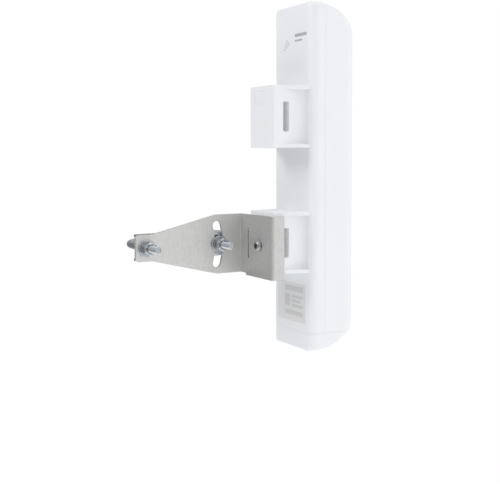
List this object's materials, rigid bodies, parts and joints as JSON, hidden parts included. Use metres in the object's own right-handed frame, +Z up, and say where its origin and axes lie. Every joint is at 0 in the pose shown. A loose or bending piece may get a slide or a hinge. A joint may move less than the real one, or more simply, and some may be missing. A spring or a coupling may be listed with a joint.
{
  "type": "outdoor wireless bridge",
  "caption": "Slim upright panel radio for a mast: rounded plastic housing, stepped rear lugs, and a tilting sheet bracket held by a U-bolt clamp.",
  "frame": {"origin": "on the mast's axis, at the height of the clamp rod's two legs", "axes": "+Z up along the mast, +Y the way the antenna looks, +X towards the side that the clamp's nuts are on"},
  "size_m": [0.1247, 0.1773, 0.2905],
  "materials": {
    "black_plastic": "moulded, matte",
    "brass": "turned",
    "brushed_aluminium": "brushed sheet, vertical grain",
    "button_red": "moulded, matte",
    "circuit_board": "green solder mask",
    "copper_patch": "copper sheet",
    "label_film": "printed grey film",
    "light_guide": "clear polycarbonate, polished",
    "nylon": "natural nylon",
    "radome_plastic": "light grey-white moulded plastic, smooth satin",
    "seal_rubber": "moulded, matte",
    "tinned_shield": "tin plating",
    "white_plastic": "light grey-white moulded plastic, fine satin",
    "zinc_steel": "bright zinc plating"
  },
  "bodies": {
    "mast_clamp": {"u_bolt": "zinc_steel", "saddle": "zinc_steel", "flat_washer_pivot": "zinc_steel", "spring_washer_pivot": "zinc_steel", "hex_nut_pivot": "zinc_steel", "flat_washer_slot": "zinc_steel", "spring_washer_slot": "zinc_steel", "hex_nut_slot": "zinc_steel"},
    "radio": {"antenna_patch_1": "copper_patch", "antenna_patch_2": "copper_patch", "antenna_patch_3": "copper_patch", "antenna_patch_4": "copper_patch", "board_screw_1": "zinc_steel", "board_screw_2": "zinc_steel", "board_screw_3": "zinc_steel", "board_screw_4": "zinc_steel", "bracket_screw": "zinc_steel", "circuit_board": "circuit_board", "coax_lead_1": "black_plastic", "coax_lead_2": "black_plastic", "ethernet_jack_aux": "tinned_shield", "ethernet_jack_main": "tinned_shield", "filter_capacitor": "black_plastic", "front_radome": "radome_plastic", "housing_gasket": "seal_rubber", "light_guide": "light_guide", "lug_insert": "brass", "patch_post_1": "nylon", "patch_post_2": "nylon", "patch_post_3": "nylon", "patch_post_4": "nylon", "power_transformer": "black_plastic", "processor_shield": "tinned_shield", "radio_shield": "tinned_shield", "rating_label": "label_film", "rear_shell": "white_plastic", "reflector_plate": "brushed_aluminium", "reflector_screw_1": "zinc_steel", "reflector_screw_2": "zinc_steel", "reflector_screw_3": "zinc_steel", "reflector_screw_4": "zinc_steel", "reset_switch": "black_plastic", "tilt_bracket": "brushed_aluminium"},
    "port_cover": {"port_cover": "white_plastic", "cable_grommet": "seal_rubber"},
    "reset_button": {"reset_button": "button_red"}
  },
  "joints": [
    {"name": "elevation_tilt", "type": "hinge", "parent": "mast_clamp", "child": "radio", "pos_m": [0.0338, -0.033, 0], "axis": [1, 0, 0], "range_deg": [-14, 14]},
    {"name": "cover_slide", "type": "slide", "parent": "radio", "child": "port_cover", "axis": [0, 0, -1], "range_m": [0, 0.014]},
    {"name": "reset_press", "type": "slide", "parent": "radio", "child": "reset_button", "axis": [0, 0, 1], "range_m": [0, 0.0006], "stiffness_N_per_m": 600}
  ]
}
